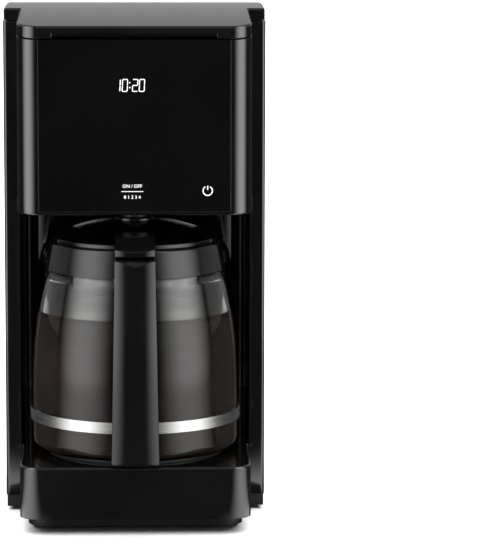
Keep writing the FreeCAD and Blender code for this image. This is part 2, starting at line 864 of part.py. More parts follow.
def make_boards():
    """Power board on the plinth and control board behind the console."""
    board_z = "foot_height + wall + power_board_lift"
    top_z = board_z + " + board_thickness"
    board = wide_box("PowerBoard", "power_board_width", "power_board_y", "power_board_depth",
                     board_z, "board_thickness")
    transformer = box("Transformer", ("-power_board_width / 2 + standoff_inset",
                                      "power_board_y + power_board_depth / 2 - transformer_size / 2",
                                      top_z),
                      ("transformer_size", "transformer_size", "transformer_size"))
    relay = box("Relay", ("0", "power_board_y + power_board_depth / 2 - relay_size / 2", top_z),
                ("relay_size", "relay_size", "relay_size"))
    sub_part(fuse("PowerBoardBuilt", board, transformer, relay), "power_board")
    sub_part(
        wide_box("ControlBoard", "control_board_width", "front_y + front_wall + standoff_length",
                 "board_thickness", "control_board_z", "control_board_height"),
        "control_board",
    )


def make_side_panels():
    """Tower sides with their narrow front faces beside the bay, and screw bosses at the back."""
    inner_corner = "rear_corner - wall"
    panel = prism(
        "PanelBlank",
        [
            ("head_half + side_gap", "wing_y"),
            ("body_half - wing_corner", "wing_y", "wing_corner"),
            ("body_half", "wing_y + wing_corner"),
            ("body_half", "rear_y - rear_corner", "rear_corner"),
            ("rear_half", "rear_y"),
            ("rear_half", "rear_inner_y", f"-({inner_corner})"),
            ("side_inner_x", "rear_y - rear_corner"),
            ("side_inner_x", "wing_back_y"),
            ("head_half + side_gap", "wing_back_y"),
        ],
        "skirt_z", "body_height",
    )
    bosses = [
        box(f"PanelBoss{index}",
            ("rear_screw_x - screw_head_radius", "rear_inner_y - rear_boss_depth",
             f"{level} - rear_boss_height / 2"),
            ("side_inner_x - rear_screw_x + screw_head_radius", "rear_boss_depth",
             "rear_boss_height"))
        for index, level in enumerate(("rear_screw_low_z", "rear_screw_mid_z", "rear_screw_top_z"))
    ]
    blank = fuse("PanelWithBosses", panel, *bosses)
    topped = common("PanelTopped", blank, arch("PanelArch", "shell_top_radius"))
    bay = cylinder("PanelBay", "bay_outer", "bay_height", ("0", "axis_y", "base_top_z"))
    floor = cylinder("PanelFloor", "bay_outer", "wall", ("0", "axis_y", "base_top_z - wall"))
    ceiling = cylinder("PanelCeiling", "bay_outer", "wall", ("0", "axis_y", "head_bottom_z"))
    swing = cylinder("PanelSwing", "swing_radius", "2 * body_width",
                     ("-body_width", "hinge_y", "hinge_z"), ALONG_X)
    holes = [
        cylinder(f"PanelHole{index}", "screw_radius", "screw_length",
                 ("rear_screw_x", "rear_y", level), INTO_FRONT)
        for index, level in enumerate(("rear_screw_low_z", "rear_screw_mid_z", "rear_screw_top_z"))
    ]
    right = cut("RightPanel", topped, bay, floor, ceiling, swing, *holes)
    sub_part(right, "right_side_panel")
    sub_part(mirrored("LeftPanel", right), "left_side_panel")
    return swing


def make_back(swing):
    """Back cover with its vents, screws and cord gland."""
    plate = wide_box("BackPlate", "2 * rear_half", "rear_inner_y", "wall", "skirt_z", "body_height")
    topped = common("BackTopped", plate, arch("BackArch", "shell_top_radius"))
    screws = [
        screw(f"RearScrew{index}", (x, "rear_y", z), INTO_FRONT)
        for index, (x, z) in enumerate(REAR_SCREWS)
    ]
    vents = [
        wide_box(f"Vent{index}", "vent_width", "rear_inner_y", "wall",
                 f"vent_z + {index} * vent_pitch", "vent_height")
        for index in range(6)
    ]
    gland_at = ("gland_x", "rear_y", "gland_z")
    barrel = cylinder("GlandBarrel", "gland_radius", "wall + gland_flange_thickness", gland_at,
                      INTO_FRONT)
    flange = cylinder("GlandFlange", "gland_flange_radius", "gland_flange_thickness",
                      ("gland_x", "rear_inner_y", "gland_z"), INTO_FRONT)
    bore = cylinder("GlandBore", "gland_bore_radius", "wall + gland_flange_thickness", gland_at,
                    INTO_FRONT)
    sub_part(cut("BackCover", topped, swing, barrel, *vents, *screws), "rear_cover")
    sub_part(group("RearScrews", *screws), "rear_screws")
    sub_part(cut("CordGland", fuse("GlandBlank", barrel, flange), bore), "cord_gland")


def make_bay():
    """Curved liner behind the carafe, between the base and the head."""
    skin = bay_disc("BaySkin", "base_top_z", "bay_height")
    space = cylinder("BaySpace", "bay_radius", "bay_height", ("0", "axis_y", "base_top_z"))
    sub_part(cut("BayWall", skin, space), "bay_wall")


def make_head():
    """Head housing over the carafe, with the touch panel and display in its front."""
    outer = prism("HeadOuter", nose_outline("head_half", "front_y", "wing_back_y", "corner_radius"),
                  "head_bottom_z", "body_height")
    soft = rounded("HeadSoft", outer, "edge_round",
                   lambda edge: is_level_at(edge, "head_bottom_z") and not is_back(edge))
    inner = prism("HeadInner",
                  nose_outline("head_half - wall", "front_y + front_wall", "wing_back_y + wall",
                               "corner_radius - wall"),
                  "head_bottom_z + wall", "body_height")
    topped = common("HeadTopped", cut("HeadHollow", soft, inner),
                    arch("HeadArch", "shell_top_radius"))
    ceiling = bay_disc("BayCeiling", "head_bottom_z", "wall")
    standoffs = [
        cylinder("ControlStandoff", "standoff_radius", "standoff_length",
                 (f"{side}(control_board_width / 2 - standoff_inset)", "front_y + front_wall", z),
                 ALONG_Y)
        for side in ("", "-")
        for z in ("control_board_z + standoff_inset",
                  "control_board_z + control_board_height - standoff_inset")
    ]
    outlet = cylinder("OutletHole", "outlet_hole_radius", "wall", ("0", "axis_y", "head_bottom_z"))
    panel_low = "head_bottom_z + panel_foot"
    pocket = wide_box("PanelPocket", "panel_width + 2 * panel_gap", "front_y", "panel_depth",
                      panel_low + " - panel_gap", "body_height")
    window = wide_box("DisplayWindow", "display_width", "front_y", "front_wall",
                      "display_z - display_height / 2", "display_height")
    shell = fuse("HeadBlock", topped, ceiling, *standoffs)
    sub_part(cut("HeadShell", shell, outlet, pocket, window), "head_shell")
    glass = wide_box("TouchPanelBlank", "panel_width", "front_y", "panel_depth", panel_low,
                     "body_height")
    sub_part(common("TouchPanel", glass, arch("PanelTopArch", "shell_top_radius")), "touch_panel")
    sub_part(
        wide_box("Display", "display_width", "front_y + panel_depth", "display_depth",
                 "display_z - display_height / 2", "display_height"),
        "display_module",
    )


def make_deck():
    """Deck under the lid, which carries the basket, the tank and the hinge block."""
    nose = prism("DeckNose",
                 nose_outline("head_half - wall", "front_y + front_wall", "wing_back_y",
                              "corner_radius - wall"),
                 "deck_z", "deck_thickness")
    tower = wide_box("DeckTower", "2 * side_inner_x", "wing_back_y",
                     "rear_y - rear_corner - wing_back_y", "deck_z", "deck_thickness")
    back = wide_box("DeckBack", "2 * rear_half", "rear_y - rear_corner", "rear_corner - wall",
                    "deck_z", "deck_thickness")
    basket_hole = cylinder("DeckBasketHole", "basket_top_radius + basket_hole_gap",
                           "deck_thickness", ("0", "axis_y", "deck_z"))
    tank_mouth = wide_box("DeckTankMouth", "tank_width - 2 * deck_tank_margin",
                          "tank_front_y + deck_tank_margin",
                          "hinge_y - knuckle_radius - 2 * deck_tank_margin - tank_front_y",
                          "deck_z", "deck_thickness")
    riser_hole = cylinder("DeckRiserHole", "hose_radius", "deck_thickness",
                          ("-riser_x", "riser_y", "deck_z"))
    sub_part(cut("Deck", fuse("DeckBlank", nose, tower, back), basket_hole, tank_mouth, riser_hole),
             "brew_deck")


def make_basket():
    """Filter basket that hangs in the deck, with the permanent filter in it."""
    top = "deck_top_z"
    rim = "deck_top_z + basket_wall"
    basket = [
        ("basket_bottom_radius", "basket_z"),
        ("basket_top_radius", "deck_top_z"),
        ("basket_top_radius + basket_flange", "deck_top_z"),
        ("basket_top_radius + basket_flange", rim),
        ("basket_top_radius - basket_wall", rim),
        ("basket_bottom_radius - basket_wall", "basket_floor_z"),
        ("stem_radius + stem_hole_gap", "basket_floor_z"),
        ("stem_radius + stem_hole_gap", "basket_z"),
        ("outlet_bore", "basket_z"),
        ("outlet_bore", "outlet_z"),
        ("outlet_radius", "outlet_z"),
        ("outlet_radius", "basket_z"),
    ]
    sub_part(turned("Basket", basket), "filter_basket")
    slope = f"(basket_top_radius - basket_bottom_radius) / ({top} - basket_z)"
    foot = f"basket_bottom_radius + ({slope}) * (filter_z - basket_z) - basket_wall - filter_gap"
    head = "basket_top_radius - basket_wall - filter_gap"
    mesh = [
        ("0", "filter_z"),
        (foot, "filter_z"),
        (head, rim),
        ("basket_top_radius + filter_lip", rim),
        ("basket_top_radius + filter_lip", f"{rim} + filter_wall"),
        (f"{head} - filter_wall", f"{rim} + filter_wall"),
        (f"{foot} - filter_wall", "filter_z + filter_wall"),
        ("0", "filter_z + filter_wall"),
    ]
    sub_part(turned("Filter", mesh), "permanent_filter")


def make_drip_stop():
    """Plunger that the carafe's lid holds up, with its seal and return spring."""
    plunger = [
        ("0", "plunger_z"),
        ("button_radius", "plunger_z"),
        ("button_radius", "plunger_z + button_thickness"),
        ("plunger_radius", "plunger_z + button_thickness"),
        ("plunger_radius", "flange_z"),
        ("plunger_flange_radius", "flange_z"),
        ("plunger_flange_radius", "spring_z"),
        ("stem_radius", "spring_z"),
        ("stem_radius", "seal_z + seal_thickness"),
        ("0", "seal_z + seal_thickness"),
    ]
    sub_part(turned("Plunger", plunger), "drip_stop_plunger")
    seal = [
        ("stem_radius", "seal_z"),
        ("seal_radius", "seal_z"),
        ("seal_radius", "seal_z + seal_thickness"),
        ("stem_radius", "seal_z + seal_thickness"),
    ]
    sub_part(turned("Seal", seal), "drip_stop_seal")
    spring = doc.addObject("Part::Feature", "Spring")
    spring.Shape = coil_shape()
    place(spring, ("0", "axis_y", "spring_z + spring_wire"))
    sub_part(spring, "drip_stop_spring")


def arc_from(start, heading, end):
    """Arc that leaves one point along a heading and ends at another."""
    chord = end - start
    along = FreeCAD.Vector(chord).normalize()
    side = heading - along * heading.dot(along)
    bulge = chord.Length / 2 * math.tan(heading.getAngle(chord) / 2)
    return Part.Arc(start, (start + end) / 2 + side.normalize() * bulge, end).toShape()


def coil_shape():
    """Return spring as a pipe along pairs of tangent arcs, two for each quarter turn."""
    radius = number("spring_radius")
    rise = number("basket_z - spring_z - 2 * spring_wire")
    quarters = 4 * round(number("spring_turns"))
    climb = rise / quarters
    slope = climb / (math.pi / 2)
    points = []
    headings = []
    for index in range(quarters + 1):
        angle = index * math.pi / 2
        points.append(
            FreeCAD.Vector(radius * math.cos(angle), radius * math.sin(angle), index * climb)
        )
        headings.append(
            FreeCAD.Vector(-radius * math.sin(angle), radius * math.cos(angle), slope).normalize()
        )
    edges = []
    for start, end, leaving, arriving in zip(points, points[1:], headings, headings[1:]):
        span = end - start
        bend = 2 * (leaving.dot(arriving) - 1)
        pull = span.dot(leaving + arriving)
        reach = (pull - math.sqrt(pull ** 2 - bend * span.dot(span))) / bend
        middle = (start + leaving * reach + end - arriving * reach) / 2
        edges.append(arc_from(start, leaving, middle))
        edges.append(arc_from(middle, (end - arriving * reach - middle).normalize(), end))
    profile = Part.Wire(Part.makeCircle(number("spring_wire"), points[0], headings[0]))
    return Part.Wire(edges).makePipeShell([profile], True, False)


def make_lid():
    """Arched brew lid with its liner and spray head, and the hinge at its back edge."""
    head = prism("LidHead", nose_outline("head_half", "front_y", "wing_back_y", "corner_radius"),
                 "head_bottom_z", "body_height")
    tower = prism("LidTower",
                  tower_outline("body_half - lid_side_inset", "wing_y", "rear_y", "rear_corner"),
                  "head_bottom_z", "body_height")
    under = arch("LidUnder", "lid_under_radius")
    band = cut("LidBand", arch("LidTop", "arch_radius"), under)
    plan = common("LidSlab", fuse("LidPlan", head, tower), band)
    blank = rounded("LidBlank", plan, "lid_edge", is_on_arch)
    space = wide_box("LidSpacePlan", "head_width - 2 * lid_wall", "front_y + lid_front_wall",
                     "hinge_y - hinge_lid_land - front_y - lid_front_wall", "head_bottom_z",
                     "body_height")
    ceiling = arch("LidCeiling", "arch_radius - lid_wall")
    hollow = common("LidHollow", space, ceiling)
    slot = wide_box("LidSlot", "slot_width", "front_y", "slot_depth", "lid_front_z - lid_thickness",
                    "slot_height + lid_thickness")
    notch = wide_box("LidNotch", "knuckle_width + 2 * knuckle_gap",
                     "hinge_y - knuckle_radius - knuckle_gap", "body_depth", "head_bottom_z",
                     "body_height")
    bore = cylinder("LidBore", "hinge_pin_radius + running_clearance",
                    "hinge_pin_length + 2 * knuckle_gap",
                    ("-hinge_pin_length / 2 - knuckle_gap", "hinge_y", "hinge_z"), ALONG_X)
    sub_part(cut("Lid", blank, hollow, slot, notch, bore), "brew_lid")
    liner_band = cut("LinerBand", arch("LinerTop", "lid_under_radius + liner_thickness"), under)
    sub_part(common("Liner", space, liner_band), "lid_liner")
    spray = cylinder("SprayBlank", "spray_radius", "body_height",
                     ("0", "axis_y", "lid_front_z - spray_depth + lid_thickness / 2"))
    sub_part(common("Spray", spray, under), "spray_head")

    knuckle = cylinder("Knuckle", "knuckle_radius", "knuckle_width",
                       ("-knuckle_width / 2", "hinge_y", "hinge_z"), ALONG_X)
    post = wide_box("HingePost", "knuckle_width", "hinge_y - knuckle_radius",
                    "rear_inner_y - hinge_y + knuckle_radius", "deck_top_z", "hinge_z - deck_top_z")
    pin = cylinder("HingePin", "hinge_pin_radius", "hinge_pin_length",
                   ("-hinge_pin_length / 2", "hinge_y", "hinge_z"), ALONG_X)
    sub_part(cut("HingeBlock", fuse("HingeBlank", knuckle, post), pin), "lid_hinge_block")
    sub_part(pin, "lid_hinge_pin")


def is_on_arch(edge):
    """Edges that lie in the lid's top face."""
    middle = edge.valueAt((edge.FirstParameter + edge.LastParameter) / 2)
    ends = [vertex.Point for vertex in edge.Vertexes]
    return all(
        abs(math.hypot(point.y - number("arch_y"), point.z - number("arch_z"))
            - number("arch_radius")) < 1e-4
        for point in (middle, *ends)
    )


def glass_outline():
    """Carafe wall: rounded foot, straight belly, curved shoulder and straight neck."""
    belly_curve = (
        "((glass_shoulder_height - glass_belly_height) ^ 2"
        " + (glass_radius - glass_shoulder_radius) ^ 2)"
        " / (2 * (glass_radius - glass_shoulder_radius))"
    )
    wall = "glass_wall"
    return [
        ("0", "0"),
        ("glass_radius - glass_corner", "0", "glass_corner"),
        ("glass_radius", "glass_corner"),
        ("glass_radius", "glass_belly_height", belly_curve),
        ("glass_shoulder_radius", "glass_shoulder_height"),
        ("collar_bottom_radius", "collar_bottom_height"),
        ("neck_radius", "neck_height"),
        ("neck_radius", "glass_height"),
        (f"neck_radius - {wall}", "glass_height"),
        (f"neck_radius - {wall}", "neck_height"),
        (f"collar_bottom_radius - {wall}", f"collar_bottom_height - {wall} / 2"),
        (f"glass_shoulder_radius - {wall}", "glass_shoulder_height", f"-({belly_curve} - {wall})"),
        ("inner_radius", "glass_belly_height"),
        ("inner_radius", "glass_corner", f"-(glass_corner - {wall})"),
        ("glass_radius - glass_corner", wall),
        ("0", wall),
    ]


def collar_outline(bore):
    """Collar section from its inner radius outwards; the bore is zero for a filled one."""
    return [
        (bore, "glass_height"),
        ("neck_radius", "glass_height"),
        ("neck_radius", "neck_height"),
        ("collar_bottom_radius", "collar_bottom_height"),
        ("collar_bottom_radius + collar_wall", "collar_bottom_height"),
        ("neck_radius + collar_wall", "collar_height - collar_wall", "collar_wall"),
        ("neck_radius", "collar_height"),
        (bore, "collar_height"),
    ]


CARAFE_AT = ("0", "axis_y", "glass_z")


def crowned(name, solid, reach):
    """Solid whose front bulges across its width; reach is from the carafe's axis to the front."""
    middle_y = f"axis_y - {reach} + handle_crown"
    round_front = cylinder(f"{name}Front", "handle_crown", "2 * handle_top", ("0", middle_y, "glass_z"))
    behind = wide_box(f"{name}Behind", "2 * handle_crown", middle_y, "handle_reach", "glass_z",
                      "2 * handle_top")
    return common(name, solid, fuse(f"{name}Crown", round_front, behind))


def make_carafe():
    """Glass bowl with its collar, steel band and handle."""
    sub_part(turned("Glass", glass_outline(), CARAFE_AT), "carafe_glass")
    sub_part(turned("Collar", collar_outline("collar_bore"), CARAFE_AT), "carafe_collar")
    band = [
        ("glass_radius", "band_bottom"),
        ("band_radius", "band_bottom"),
        ("band_radius", "band_bottom + band_height"),
        ("glass_radius", "band_bottom + band_height"),
    ]
    sub_part(turned("Band", band, CARAFE_AT), "carafe_band")

    arm_low = "handle_top - handle_arm"
    grip_back = "-handle_reach + grip_thickness"
    side_view = [
        ("-neck_radius + handle_root", "handle_top"),
        ("-neck_radius + handle_root", arm_low),
        (f"{grip_back} + handle_inner_round", arm_low, "handle_inner_round"),
        (grip_back, f"{arm_low} - handle_inner_round"),
        (grip_back, "handle_foot_top + handle_inner_round", "handle_inner_round"),
        (f"{grip_back} + handle_inner_round", "handle_foot_top"),
        ("-glass_radius + handle_root", "handle_foot_top"),
        ("-glass_radius + handle_root", "handle_bottom + handle_foot_slope"),
        ("-band_radius - band_thickness", "handle_bottom + handle_foot_slope"),
        ("-band_radius - handle_foot_slope", "handle_bottom"),
        ("-handle_reach + handle_round", "handle_bottom", "-handle_round"),
        ("-handle_reach", "handle_bottom + handle_round"),
        ("-handle_reach", "handle_top - handle_round", "-handle_round"),
        ("-handle_reach + handle_round", "handle_top"),
    ]
    front_view = [
        ("-handle_bottom_width / 2", "handle_bottom"),
        ("handle_bottom_width / 2", "handle_bottom"),
        ("handle_top_width / 2", "handle_top"),
        ("-handle_top_width / 2", "handle_top"),
    ]
    tapered = common(
        "HandleTapered",
        side_prism("HandleSide", side_view, "2 * handle_bottom_width", CARAFE_AT),
        front_prism("HandleFront", front_view, "3 * handle_reach", CARAFE_AT),
    )
    blank = crowned("HandleBlank", tapered, "handle_reach")
    envelope = [
        turned("CollarEnvelope", collar_outline("0"), CARAFE_AT),
        cylinder("BandEnvelope", "band_radius", "collar_bottom_height", CARAFE_AT),
        cylinder("NeckEnvelope", "collar_bottom_radius", "glass_height", CARAFE_AT),
    ]
    slot = box("LugSlot",
               ("-lug_width / 2 - lug_side_gap",
                "axis_y - cover_pin_reach - lug_radius - lug_slot_gap",
                "glass_z + cover_pin_height - lug_radius - lug_side_gap"),
               ("lug_width + 2 * lug_side_gap", "2 * (lug_radius + lug_slot_gap)", "handle_arm"))
    pin = cylinder("CoverPin", "cover_pin_radius", "cover_pin_length",
                   ("-cover_pin_length / 2", "axis_y - cover_pin_reach",
                    "glass_z + cover_pin_height"), ALONG_X)
    clamp = screw("HandleScrew", ("0", "axis_y - handle_screw_reach",
                                  "glass_z + handle_bottom"), UPRIGHT)
    sub_part(cut("Handle", blank, *envelope, slot, pin, clamp), "carafe_handle")
    sub_part(pin, "carafe_lid_pin")
    sub_part(clamp, "handle_screw")


def cover_outline(filled):
    """Carafe lid section: skirt, rim, dome and raised hub with the brew-through hole."""
    shoulder = "rim_z + cover_rim_height"
    hub_foot = "cover_top - hub_rise"
    top = [
        ("skirt_radius", "rim_z"),
        ("cover_rim_radius", "rim_z"),
        ("cover_rim_radius", shoulder, "dome_radius"),
        ("hub_radius", hub_foot),
        ("hub_radius", "cover_top"),
    ]
    if filled:
        return [("0", "rim_z"), *top, ("0", "cover_top")]
    return [
        ("skirt_radius", "rim_z - cover_skirt_depth"),
        *top,
        ("hub_hole_radius", "cover_top"),
        ("hub_hole_radius", f"{hub_foot} - cover_wall"),
        ("hub_radius", f"{hub_foot} - cover_wall", "-(dome_radius - cover_wall)"),
        ("skirt_radius - cover_wall", "rim_z + cover_wall"),
        ("skirt_radius - cover_wall", "rim_z - cover_skirt_depth"),
    ]


def make_carafe_lid():
    """Domed lid with the thumb lever that pivots on the handle's top."""
    sub_part(turned("Cover", cover_outline(False), CARAFE_AT), "carafe_lid")
    side_view = [
        ("-lever_tip_reach", "lever_z"),
        ("-lever_root_reach", "lever_z"),
        ("-lever_root_reach", "lever_z + lever_back_height"),
        ("-lever_back_reach", "lever_z + lever_back_height"),
        ("-lever_tip_reach", "lever_z + lever_tip_height"),
    ]
    bar = side_prism("LeverBar", side_view, "lever_width", CARAFE_AT)
    blank = crowned("LeverBlank", bar, "lever_tip_reach")
    soft = rounded("LeverSoft", blank, "lever_round", is_lever_crest)
    pivot = ("-lug_width / 2", "axis_y - cover_pin_reach", "glass_z + cover_pin_height")
    lug = cylinder("Lug", "lug_radius", "lug_width", pivot, ALONG_X)
    tongue = box("LugTongue",
                 ("-lug_width / 2", "axis_y - cover_pin_reach - lug_radius",
                  "glass_z + cover_pin_height"),
                 ("lug_width", "2 * lug_radius", "lever_z - cover_pin_height + lever_tip_height"))
    bore = cylinder("LugBore", "cover_pin_radius + running_clearance", "lug_width", pivot, ALONG_X)
    inside = turned("CoverEnvelope", cover_outline(True), CARAFE_AT)
    sub_part(cut("Lever", fuse("LeverWithLug", soft, lug, tongue), bore, inside), "thumb_lever")


def is_lever_crest(edge):
    """The edge across the lever where its slope meets its level back."""
    box_ = edge.BoundBox
    is_across = box_.YLength < 1e-6 and box_.ZLength < 1e-6
    return is_across and abs(box_.YMax - number("axis_y - lever_back_reach")) < 1e-4


def check_and_write():
    """Stop on any failed feature or unsound solid, then write one file for each sub-part."""
    doc.recompute()
    failed = [item.Label for item in doc.Objects if {"Invalid", "Error"} & set(item.State)]
    if failed:
        raise RuntimeError("failed features: " + ", ".join(failed))
    for item in SUB_PARTS:
        if item.Shape.isNull() or not item.Shape.isValid():
            raise RuntimeError("unsound sub-part: " + item.Label)
    os.makedirs("parts", exist_ok=True)
    for item in SUB_PARTS:
        item.Shape.exportStep(f"parts/{item.Label}.step")


make_base(make_underside())
make_hot_plate()
make_water_path()
make_tank()
make_boards()
make_back(make_side_panels())
make_bay()
make_head()
make_deck()
make_basket()
make_drip_stop()
make_lid()
make_carafe()
make_carafe_lid()
check_and_write()
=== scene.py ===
import json
import math
import bpy
import bmesh
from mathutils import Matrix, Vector


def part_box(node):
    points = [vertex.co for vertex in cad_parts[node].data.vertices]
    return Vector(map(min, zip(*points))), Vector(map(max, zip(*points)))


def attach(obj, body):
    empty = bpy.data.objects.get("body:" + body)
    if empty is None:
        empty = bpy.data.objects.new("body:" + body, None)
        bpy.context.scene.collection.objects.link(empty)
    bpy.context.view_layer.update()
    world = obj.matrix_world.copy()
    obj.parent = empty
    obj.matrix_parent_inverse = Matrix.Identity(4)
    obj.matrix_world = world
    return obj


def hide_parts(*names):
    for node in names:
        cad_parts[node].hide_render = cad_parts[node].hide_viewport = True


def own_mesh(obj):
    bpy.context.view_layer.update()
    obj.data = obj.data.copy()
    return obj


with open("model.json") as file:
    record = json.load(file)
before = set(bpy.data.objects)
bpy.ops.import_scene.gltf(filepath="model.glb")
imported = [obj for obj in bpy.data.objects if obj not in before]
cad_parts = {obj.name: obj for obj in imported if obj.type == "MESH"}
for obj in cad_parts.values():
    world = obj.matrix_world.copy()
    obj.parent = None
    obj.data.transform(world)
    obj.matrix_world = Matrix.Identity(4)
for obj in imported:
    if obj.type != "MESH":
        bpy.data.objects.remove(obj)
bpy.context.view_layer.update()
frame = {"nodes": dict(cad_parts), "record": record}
nodes = frame["nodes"]
scene = bpy.context.scene
scene.view_settings.view_transform = "Standard"


# Procedural materials. Coordinates are the model's own metres.

NOISE_SPAN = (0.3, 0.7)
TONE_STOPS = (0.35, 0.65)


class Surface:
    """One node material on a Principled shader, with helpers that add texture nodes to it."""

    def __init__(self, name, **sockets):
        self.material = bpy.data.materials.new(name)
        self.material.use_nodes = True
        self.tree = self.material.node_tree
        self.shader = self.tree.nodes["Principled BSDF"]
        self.place = self.tree.nodes.new("ShaderNodeTexCoord").outputs["Object"]
        for socket, value in sockets.items():
            self.shader.inputs[socket.replace("_", " ")].default_value = value

    def add(self, kind, **values):
        node = self.tree.nodes.new(kind)
        for key, value in values.items():
            setattr(node, key, value)
        return node

    def link(self, source, target):
        self.tree.links.new(source, target)

    def stretched(self, scale):
        node = self.add("ShaderNodeMapping")
        node.inputs["Scale"].default_value = scale
        self.link(self.place, node.inputs["Vector"])
        return node.outputs["Vector"]

    def noise(self, scale, detail=3.0, stretch=None):
        node = self.add("ShaderNodeTexNoise")
        node.inputs["Scale"].default_value = scale
        node.inputs["Detail"].default_value = detail
        self.link(self.stretched(stretch) if stretch else self.place, node.inputs["Vector"])
        return node.outputs["Fac"]

    def ramp(self, source, stops):
        node = self.add("ShaderNodeValToRGB")
        ramp = node.color_ramp
        while len(ramp.elements) < len(stops):
            ramp.elements.new(0.5)
        for element, (position, colour) in zip(ramp.elements, stops):
            element.position = position
            element.color = (*colour, 1.0)
        self.link(source, node.inputs["Fac"])
        return node.outputs["Color"]

    def spread(self, source, low, high):
        node = self.add("ShaderNodeMapRange")
        node.inputs["From Min"].default_value = NOISE_SPAN[0]
        node.inputs["From Max"].default_value = NOISE_SPAN[1]
        node.inputs["To Min"].default_value = low
        node.inputs["To Max"].default_value = high
        self.link(source, node.inputs["Value"])
        return node.outputs["Result"]

    def colour(self, source, dark, light):
        tones = self.ramp(source, list(zip(TONE_STOPS, (dark, light))))
        self.link(tones, self.shader.inputs["Base Color"])
        return self

    def rough(self, source, low, high):
        self.link(self.spread(source, low, high), self.shader.inputs["Roughness"])
        return self

    def bump(self, source, height, strength=1.0, edge=0.0):
        """Fine relief; edge is the radius of the broken corners that catch the light."""
        node = self.add("ShaderNodeBump")
        if edge:
            corner = self.add("ShaderNodeBevel", samples=6)
            corner.inputs["Radius"].default_value = edge
            self.link(corner.outputs["Normal"], node.inputs["Normal"])
        node.inputs["Strength"].default_value = strength
        node.inputs["Distance"].default_value = height
        self.link(source, node.inputs["Height"])
        self.link(node.outputs["Normal"], self.shader.inputs["Normal"])
        return self


def grey(value, warm=0.0):
    return (value * (1 + warm), value, value * (1 - warm))


def moulded(name, dark, light, rough, grain, height, edge=0.0, **sockets):
    """Moulded plastic: slight colour drift, uneven gloss, a fine surface grain and broken corners."""
    surface = Surface(name, **sockets)
    surface.colour(surface.noise(scale=18, detail=4), grey(dark), grey(light))
    surface.rough(surface.noise(scale=55, detail=5), *rough)
    return surface.bump(surface.noise(scale=grain, detail=2), height, strength=0.5, edge=edge)


def brushed(name, dark, light, rough, stretch, **sockets):
    surface = Surface(name, Metallic=1.0, **sockets)
    lines = surface.noise(scale=1.0, detail=4, stretch=stretch)
    surface.colour(lines, grey(dark, 0.01), grey(light, 0.01))
    surface.rough(lines, *rough)
    return surface.bump(lines, height=0.00002, strength=0.4)


def gold_mesh():
    surface = Surface("gold_mesh", Metallic=1.0)
    tone = surface.noise(scale=40, detail=4)
    surface.colour(tone, (0.42, 0.28, 0.09), (0.66, 0.47, 0.18))
    weave = surface.add("ShaderNodeTexVoronoi")
    weave.inputs["Scale"].default_value = 1400
    surface.link(surface.place, weave.inputs["Vector"])
    surface.rough(tone, low=0.25, high=0.42)
    return surface.bump(weave.outputs["Distance"], height=0.0002, strength=0.8)


def glass():
    surface = Surface("carafe_clear", Transmission_Weight=1.0, IOR=1.47)
    haze = surface.noise(scale=30, detail=5)
    surface.colour(haze, (0.935, 0.935, 0.93), (0.975, 0.975, 0.97))
    return surface.rough(haze, low=0.0, high=0.03)


def brewed():
    surface = Surface("brewed_coffee", IOR=1.34, Specular_IOR_Level=0.1)
    swirl = surface.noise(scale=22, detail=5)
    surface.colour(swirl, (0.010, 0.006, 0.004), (0.020, 0.013, 0.009))
    return surface.rough(swirl, low=0.05, high=0.12)


def smoked():
    surface = Surface("tank_smoke", Transmission_Weight=0.85, IOR=1.49)
    haze = surface.noise(scale=25, detail=4)
    surface.colour(haze, grey(0.10), grey(0.16))
    return surface.rough(haze, low=0.06, high=0.16)


def circuit():
    surface = Surface("circuit_green")
    tracks = surface.noise(scale=160, detail=2)
    surface.colour(tracks, (0.012, 0.07, 0.03), (0.03, 0.16, 0.07))
    surface.rough(tracks, low=0.3, high=0.5)
    return surface.bump(tracks, height=0.0001, strength=0.5)


def coating():
    surface = Surface("plate_coating")
    fleck = surface.noise(scale=2600, detail=2)
    surface.colour(fleck, grey(0.020), grey(0.060))
    surface.rough(surface.noise(scale=45, detail=4), low=0.30, high=0.42)
    return surface.bump(fleck, height=0.00004, strength=0.5)


def lit_print(name, level):
    surface = Surface(name, Roughness=0.4)
    tone = surface.noise(scale=400, detail=2)
    surface.colour(tone, grey(0.82), grey(0.95))
    glow = surface.ramp(tone, list(zip(NOISE_SPAN, (grey(0.88), grey(1.0)))))
    surface.link(glow, surface.shader.inputs["Emission Color"])
    surface.shader.inputs["Emission Strength"].default_value = level
    return surface


slot_surfaces = {
    "gloss_black": moulded("gloss_black", 0.0016, 0.0028, rough=(0.07, 0.13), grain=900, height=0.00002,
                           edge=0.0009, Coat_Weight=0.8, Coat_Roughness=0.04),
    "satin_black": moulded("satin_black", 0.010, 0.013, rough=(0.36, 0.46), grain=2400, height=0.00006,
                           edge=0.0006),
    "grip_black": moulded("grip_black", 0.0020, 0.0032, rough=(0.12, 0.18), grain=1800, height=0.00001,
                          edge=0.0012),
    "panel_gloss": moulded("panel_gloss", 0.0013, 0.0022, rough=(0.03, 0.06), grain=500, height=0.000005),
    "display_dark": moulded("display_dark", 0.010, 0.016, rough=(0.3, 0.4), grain=1500, height=0.00002),
    "soft_rubber": moulded("soft_rubber", 0.014, 0.024, rough=(0.65, 0.85), grain=1600, height=0.0001),
    "steel": brushed("brushed_steel", 0.53, 0.60, rough=(0.23, 0.31), stretch=(30, 30, 2600),
                     Anisotropic=0.3),
    "heater_aluminium": brushed("drawn_aluminium", 0.55, 0.68, rough=(0.32, 0.45),
                                stretch=(2000, 60, 2000)),
    "plate_coating": coating(),
    "clear_glass": glass(),
    "tank_smoke": smoked(),
    "filter_gold": gold_mesh(),
    "light_plastic": moulded("light_plastic", 0.62, 0.72, rough=(0.4, 0.5), grain=1600, height=0.00004),
    "circuit_green": circuit(),
}


def dress(item, surface):
    item.data.materials.clear()
    item.data.materials.append(surface.material)


